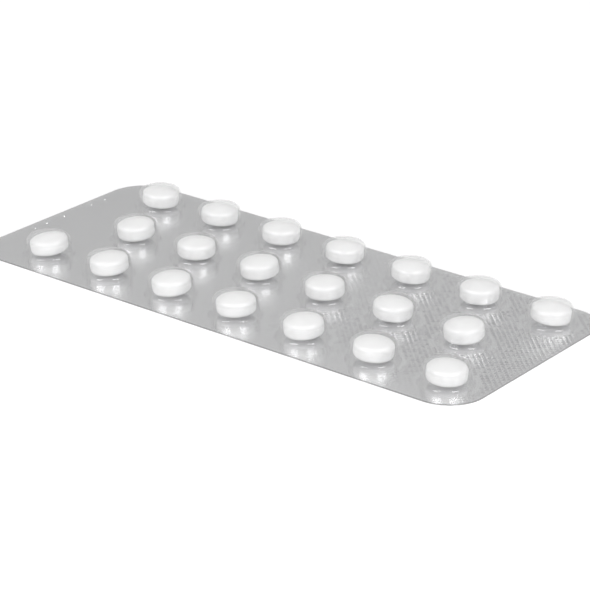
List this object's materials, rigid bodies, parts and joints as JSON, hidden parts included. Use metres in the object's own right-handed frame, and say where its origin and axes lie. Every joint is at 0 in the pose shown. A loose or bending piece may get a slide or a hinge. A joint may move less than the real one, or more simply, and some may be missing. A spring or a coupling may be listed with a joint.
{
  "type": "tablet blister pack",
  "caption": "Flat card with staggered rows of clear domed pockets, each holding a round white tablet, sealed from below with foil.",
  "frame": {"origin": "centre of the card on the foil's underside", "axes": "+X along the card's long side, +Y across it from the front row to the back row, +Z out of the pockets"},
  "size_m": [0.1036, 0.044, 0.0041],
  "materials": {
    "clear_film": "clear gloss",
    "foil": "satin, finely knurled",
    "tablet_coat": "satin film coat"
  },
  "bodies": {
    "root": {"forming_film": "clear_film", "lidding_foil": "foil", "tablet_front_1": "tablet_coat", "tablet_front_2": "tablet_coat", "tablet_front_3": "tablet_coat", "tablet_front_4": "tablet_coat", "tablet_front_5": "tablet_coat", "tablet_front_6": "tablet_coat", "tablet_front_7": "tablet_coat", "tablet_middle_1": "tablet_coat", "tablet_middle_2": "tablet_coat", "tablet_middle_3": "tablet_coat", "tablet_middle_4": "tablet_coat", "tablet_middle_5": "tablet_coat", "tablet_middle_6": "tablet_coat", "tablet_back_1": "tablet_coat", "tablet_back_2": "tablet_coat", "tablet_back_3": "tablet_coat", "tablet_back_4": "tablet_coat", "tablet_back_5": "tablet_coat", "tablet_back_6": "tablet_coat", "tablet_back_7": "tablet_coat"}
  },
  "joints": []
}
